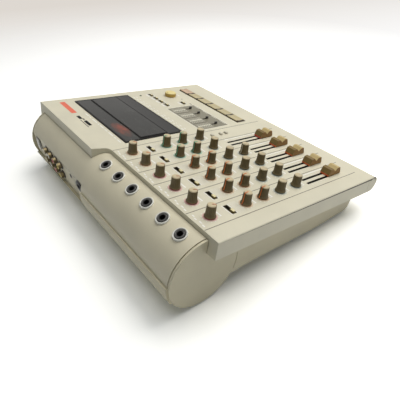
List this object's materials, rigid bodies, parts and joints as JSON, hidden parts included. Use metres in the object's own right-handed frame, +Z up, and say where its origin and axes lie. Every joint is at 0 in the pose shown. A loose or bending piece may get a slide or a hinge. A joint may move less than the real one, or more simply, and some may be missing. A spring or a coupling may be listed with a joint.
{
  "type": "four track cassette recorder",
  "caption": "Sloping table-top four track cassette recorder with a built-in mixer, knobs, faders, transport keys and a cassette door, over a round rear barrel with sockets.",
  "frame": {"origin": "centre of the footprint, on the surface that the feet stand on", "axes": "+X to the user's right, +Y to the rear, +Z up; the front is -Y"},
  "size_m": [0.3708, 0.3162, 0.1029],
  "materials": {
    "top_plastic": "fine-grained warm light grey moulding",
    "cover_plastic": "fine-grained warm light grey moulding",
    "lower_plastic": "fine-grained warm light grey moulding",
    "meter_plastic": "grey window with printed level marks",
    "board_laminate": "green board with dark components",
    "chassis_paint": "satin black",
    "head_metal": "satin",
    "spindle_plastic": "smooth",
    "door_plastic": "smoked, polished",
    "jack_plastic": "black nuts and sockets",
    "ring_plastic": "pale bezel rings",
    "socket_metal": "plated sleeves in black holders",
    "button_plastic": "light grey",
    "pitch_plastic": "cream",
    "switch_cream": "cream",
    "switch_black": "black",
    "monitor_plastic": "light grey",
    "foot_rubber": "matt black",
    "screw_steel": "zinc plated",
    "key_tan": "tan",
    "key_rose": "rose brown",
    "fader_tan": "tan with a cream line",
    "fader_red": "tan with a red base",
    "knob_red": "dark olive brown, red base, cream top",
    "knob_amber": "dark olive brown, amber base, cream top",
    "knob_blue": "dark olive brown, blue grey base, cream top",
    "knob_green": "dark olive brown, green base, cream top"
  },
  "bodies": {
    "case": {"top_case": "top_plastic", "rear_cover": "cover_plastic", "lower_case": "lower_plastic", "meter_panel": "meter_plastic", "circuit_boards": "board_laminate", "transport_chassis": "chassis_paint", "input_jacks": "jack_plastic", "jack_rings": "ring_plastic", "rear_sockets": "socket_metal", "feet": "foot_rubber", "screws": "screw_steel"},
    "head_block": {"head_block": "head_metal"},
    "cassette_door": {"cassette_door": "door_plastic"},
    "spindle_left": {"spindle_left": "spindle_plastic"},
    "spindle_right": {"spindle_right": "spindle_plastic"},
    "pitch_knob": {"pitch_knob": "pitch_plastic"},
    "input_switches": {"input_switches": "switch_cream"},
    "deck_switches": {"deck_switches": "switch_cream"},
    "record_switches": {"record_switches": "switch_black"},
    "monitor_buttons": {"monitor_buttons": "monitor_plastic"},
    "power_button": {"power_button": "button_plastic"},
    "key_pause": {"key_pause": "key_tan"},
    "key_stop": {"key_stop": "key_tan"},
    "key_forward": {"key_forward": "key_tan"},
    "key_rewind": {"key_rewind": "key_tan"},
    "key_play": {"key_play": "key_tan"},
    "key_record": {"key_record": "key_rose"},
    "fader_1": {"fader_1": "fader_tan"},
    "fader_2": {"fader_2": "fader_tan"},
    "fader_3": {"fader_3": "fader_tan"},
    "fader_4": {"fader_4": "fader_tan"},
    "fader_master": {"fader_master": "fader_red"},
    "trim_knob_1": {"trim_knob_1": "knob_red"},
    "treble_knob_1": {"treble_knob_1": "knob_amber"},
    "bass_knob_1": {"bass_knob_1": "knob_amber"},
    "effect_knob_1": {"effect_knob_1": "knob_blue"},
    "pan_knob_1": {"pan_knob_1": "knob_blue"},
    "trim_knob_2": {"trim_knob_2": "knob_red"},
    "treble_knob_2": {"treble_knob_2": "knob_amber"},
    "bass_knob_2": {"bass_knob_2": "knob_amber"},
    "effect_knob_2": {"effect_knob_2": "knob_blue"},
    "pan_knob_2": {"pan_knob_2": "knob_blue"},
    "trim_knob_3": {"trim_knob_3": "knob_red"},
    "treble_knob_3": {"treble_knob_3": "knob_amber"},
    "bass_knob_3": {"bass_knob_3": "knob_amber"},
    "effect_knob_3": {"effect_knob_3": "knob_blue"},
    "pan_knob_3": {"pan_knob_3": "knob_blue"},
    "trim_knob_4": {"trim_knob_4": "knob_red"},
    "treble_knob_4": {"treble_knob_4": "knob_amber"},
    "bass_knob_4": {"bass_knob_4": "knob_amber"},
    "effect_knob_4": {"effect_knob_4": "knob_blue"},
    "pan_knob_4": {"pan_knob_4": "knob_blue"},
    "trim_knob_5": {"trim_knob_5": "knob_amber"},
    "treble_knob_5": {"treble_knob_5": "knob_green"},
    "bass_knob_5": {"bass_knob_5": "knob_green"},
    "effect_knob_5": {"effect_knob_5": "knob_green"},
    "trim_knob_6": {"trim_knob_6": "knob_amber"},
    "treble_knob_6": {"treble_knob_6": "knob_green"},
    "bass_knob_6": {"bass_knob_6": "knob_green"},
    "effect_knob_6": {"effect_knob_6": "knob_green"}
  },
  "joints": [
    {"name": "trim_knob_1_turn", "type": "hinge", "parent": "case", "child": "trim_knob_1", "pos_m": [-0.15035, 0.09087, 0.08792], "axis": [0, -0.1478, 0.989], "range_deg": [-300, 0]},
    {"name": "treble_knob_1_turn", "type": "hinge", "parent": "case", "child": "treble_knob_1", "pos_m": [-0.15035, 0.0429, 0.08075], "axis": [0, -0.1478, 0.989], "range_deg": [-150, 150]},
    {"name": "bass_knob_1_turn", "type": "hinge", "parent": "case", "child": "bass_knob_1", "pos_m": [-0.15035, 0.01798, 0.07702], "axis": [0, -0.1478, 0.989], "range_deg": [-150, 150]},
    {"name": "effect_knob_1_turn", "type": "hinge", "parent": "case", "child": "effect_knob_1", "pos_m": [-0.15035, -0.00982, 0.07287], "axis": [0, -0.1478, 0.989], "range_deg": [-300, 0]},
    {"name": "pan_knob_1_turn", "type": "hinge", "parent": "case", "child": "pan_knob_1", "pos_m": [-0.15035, -0.03642, 0.06889], "axis": [0, -0.1478, 0.989], "range_deg": [-300, 0]},
    {"name": "trim_knob_2_turn", "type": "hinge", "parent": "case", "child": "trim_knob_2", "pos_m": [-0.12135, 0.09087, 0.08792], "axis": [0, -0.1478, 0.989], "range_deg": [-300, 0]},
    {"name": "treble_knob_2_turn", "type": "hinge", "parent": "case", "child": "treble_knob_2", "pos_m": [-0.12135, 0.0429, 0.08075], "axis": [0, -0.1478, 0.989], "range_deg": [-150, 150]},
    {"name": "bass_knob_2_turn", "type": "hinge", "parent": "case", "child": "bass_knob_2", "pos_m": [-0.12135, 0.01798, 0.07702], "axis": [0, -0.1478, 0.989], "range_deg": [-150, 150]},
    {"name": "effect_knob_2_turn", "type": "hinge", "parent": "case", "child": "effect_knob_2", "pos_m": [-0.12135, -0.00982, 0.07287], "axis": [0, -0.1478, 0.989], "range_deg": [-300, 0]},
    {"name": "pan_knob_2_turn", "type": "hinge", "parent": "case", "child": "pan_knob_2", "pos_m": [-0.12135, -0.03642, 0.06889], "axis": [0, -0.1478, 0.989], "range_deg": [-300, 0]},
    {"name": "trim_knob_3_turn", "type": "hinge", "parent": "case", "child": "trim_knob_3", "pos_m": [-0.09235, 0.09087, 0.08792], "axis": [0, -0.1478, 0.989], "range_deg": [-300, 0]},
    {"name": "treble_knob_3_turn", "type": "hinge", "parent": "case", "child": "treble_knob_3", "pos_m": [-0.09235, 0.0429, 0.08075], "axis": [0, -0.1478, 0.989], "range_deg": [-150, 150]},
    {"name": "bass_knob_3_turn", "type": "hinge", "parent": "case", "child": "bass_knob_3", "pos_m": [-0.09235, 0.01798, 0.07702], "axis": [0, -0.1478, 0.989], "range_deg": [-150, 150]},
    {"name": "effect_knob_3_turn", "type": "hinge", "parent": "case", "child": "effect_knob_3", "pos_m": [-0.09235, -0.00982, 0.07287], "axis": [0, -0.1478, 0.989], "range_deg": [-300, 0]},
    {"name": "pan_knob_3_turn", "type": "hinge", "parent": "case", "child": "pan_knob_3", "pos_m": [-0.09235, -0.03642, 0.06889], "axis": [0, -0.1478, 0.989], "range_deg": [-300, 0]},
    {"name": "trim_knob_4_turn", "type": "hinge", "parent": "case", "child": "trim_knob_4", "pos_m": [-0.06335, 0.09087, 0.08792], "axis": [0, -0.1478, 0.989], "range_deg": [-300, 0]},
    {"name": "treble_knob_4_turn", "type": "hinge", "parent": "case", "child": "treble_knob_4", "pos_m": [-0.06335, 0.0429, 0.08075], "axis": [0, -0.1478, 0.989], "range_deg": [-150, 150]},
    {"name": "bass_knob_4_turn", "type": "hinge", "parent": "case", "child": "bass_knob_4", "pos_m": [-0.06335, 0.01798, 0.07702], "axis": [0, -0.1478, 0.989], "range_deg": [-150, 150]},
    {"name": "effect_knob_4_turn", "type": "hinge", "parent": "case", "child": "effect_knob_4", "pos_m": [-0.06335, -0.00982, 0.07287], "axis": [0, -0.1478, 0.989], "range_deg": [-300, 0]},
    {"name": "pan_knob_4_turn", "type": "hinge", "parent": "case", "child": "pan_knob_4", "pos_m": [-0.06335, -0.03642, 0.06889], "axis": [0, -0.1478, 0.989], "range_deg": [-150, 150]},
    {"name": "trim_knob_5_turn", "type": "hinge", "parent": "case", "child": "trim_knob_5", "pos_m": [-0.03435, 0.09087, 0.08792], "axis": [0, -0.1478, 0.989], "range_deg": [-300, 0]},
    {"name": "treble_knob_5_turn", "type": "hinge", "parent": "case", "child": "treble_knob_5", "pos_m": [-0.03435, 0.0429, 0.08075], "axis": [0, -0.1478, 0.989], "range_deg": [-150, 150]},
    {"name": "bass_knob_5_turn", "type": "hinge", "parent": "case", "child": "bass_knob_5", "pos_m": [-0.03435, 0.01798, 0.07702], "axis": [0, -0.1478, 0.989], "range_deg": [-150, 150]},
    {"name": "effect_knob_5_turn", "type": "hinge", "parent": "case", "child": "effect_knob_5", "pos_m": [-0.03435, -0.00982, 0.07287], "axis": [0, -0.1478, 0.989], "range_deg": [-300, 0]},
    {"name": "trim_knob_6_turn", "type": "hinge", "parent": "case", "child": "trim_knob_6", "pos_m": [-0.00535, 0.09087, 0.08792], "axis": [0, -0.1478, 0.989], "range_deg": [-300, 0]},
    {"name": "treble_knob_6_turn", "type": "hinge", "parent": "case", "child": "treble_knob_6", "pos_m": [-0.00535, 0.0429, 0.08075], "axis": [0, -0.1478, 0.989], "range_deg": [-150, 150]},
    {"name": "bass_knob_6_turn", "type": "hinge", "parent": "case", "child": "bass_knob_6", "pos_m": [-0.00535, 0.01798, 0.07702], "axis": [0, -0.1478, 0.989], "range_deg": [-150, 150]},
    {"name": "effect_knob_6_turn", "type": "hinge", "parent": "case", "child": "effect_knob_6", "pos_m": [-0.00535, -0.00982, 0.07287], "axis": [0, -0.1478, 0.989], "range_deg": [-300, 0]},
    {"name": "pitch_knob_turn", "type": "hinge", "parent": "case", "child": "pitch_knob", "pos_m": [0.14685, -0.06757, 0.06424], "axis": [0, -0.1478, 0.989], "range_deg": [-140, 140]},
    {"name": "fader_1_slide", "type": "slide", "parent": "case", "child": "fader_1", "axis": [0, 0.989, 0.1478], "range_m": [0, 0.045]},
    {"name": "fader_2_slide", "type": "slide", "parent": "case", "child": "fader_2", "axis": [0, 0.989, 0.1478], "range_m": [0, 0.045]},
    {"name": "fader_3_slide", "type": "slide", "parent": "case", "child": "fader_3", "axis": [0, 0.989, 0.1478], "range_m": [0, 0.045]},
    {"name": "fader_4_slide", "type": "slide", "parent": "case", "child": "fader_4", "axis": [0, 0.989, 0.1478], "range_m": [0, 0.045]},
    {"name": "fader_master_slide", "type": "slide", "parent": "case", "child": "fader_master", "axis": [0, 0.989, 0.1478], "range_m": [0, 0.06]},
    {"name": "cassette_door_lift", "type": "hinge", "parent": "case", "child": "cassette_door", "pos_m": [0.09535, 0.08291, 0.08501], "axis": [-1, 0, 0], "range_deg": [0, 65]},
    {"name": "spindle_left_spin", "type": "hinge", "parent": "case", "child": "spindle_left", "pos_m": [0.0741, 0.04714, 0.06116], "axis": [0, -0.1478, 0.989], "continuous": true},
    {"name": "spindle_right_spin", "type": "hinge", "parent": "case", "child": "spindle_right", "pos_m": [0.1166, 0.04714, 0.06116], "axis": [0, -0.1478, 0.989], "continuous": true},
    {"name": "head_block_slide", "type": "slide", "parent": "case", "child": "head_block", "axis": [0, 0.989, 0.1478], "range_m": [0, 0.0065]},
    {"name": "key_pause_press", "type": "hinge", "parent": "case", "child": "key_pause", "pos_m": [0.0301, -0.08442, 0.05515], "axis": [1, 0, 0], "range_deg": [0, 8], "stiffness_Nm_per_rad": 0.06, "springref_deg": -4.58},
    {"name": "key_stop_press", "type": "hinge", "parent": "case", "child": "key_stop", "pos_m": [0.0548, -0.08442, 0.05515], "axis": [1, 0, 0], "range_deg": [0, 8], "stiffness_Nm_per_rad": 0.06, "springref_deg": -4.58},
    {"name": "key_forward_press", "type": "hinge", "parent": "case", "child": "key_forward", "pos_m": [0.0795, -0.08442, 0.05515], "axis": [1, 0, 0], "range_deg": [0, 8], "stiffness_Nm_per_rad": 0.06, "springref_deg": -4.58},
    {"name": "key_rewind_press", "type": "hinge", "parent": "case", "child": "key_rewind", "pos_m": [0.1042, -0.08442, 0.05515], "axis": [1, 0, 0], "range_deg": [0, 8], "stiffness_Nm_per_rad": 0.06, "springref_deg": -4.58},
    {"name": "key_play_press", "type": "hinge", "parent": "case", "child": "key_play", "pos_m": [0.1289, -0.08442, 0.05515], "axis": [1, 0, 0], "range_deg": [0, 8], "stiffness_Nm_per_rad": 0.06, "springref_deg": -4.58},
    {"name": "key_record_press", "type": "hinge", "parent": "case", "child": "key_record", "pos_m": [0.1536, -0.08442, 0.05515], "axis": [1, 0, 0], "range_deg": [0, 8], "stiffness_Nm_per_rad": 0.06, "springref_deg": -4.58},
    {"name": "input_switches_slide", "type": "slide", "parent": "case", "child": "input_switches", "axis": [1, 0, 0], "range_m": [0, 0.008]},
    {"name": "deck_switches_slide", "type": "slide", "parent": "case", "child": "deck_switches", "axis": [1, 0, 0], "range_m": [0, 0.004]},
    {"name": "record_switches_slide", "type": "slide", "parent": "case", "child": "record_switches", "axis": [0, 0.989, 0.1478], "range_m": [0, 0.006]},
    {"name": "monitor_buttons_press", "type": "slide", "parent": "case", "child": "monitor_buttons", "axis": [0, 0.1478, -0.989], "range_m": [0, 0.0015], "stiffness_N_per_m": 80, "springref_m": -0.001},
    {"name": "power_button_press", "type": "slide", "parent": "case", "child": "power_button", "axis": [0, -0.9981, 0.061], "range_m": [0, 0.0025], "stiffness_N_per_m": 200, "springref_m": -0.002}
  ],
  "couplings": [
    {"joint": "head_block_slide", "follows": "key_play_press", "m_per_rad": 0.046}
  ]
}
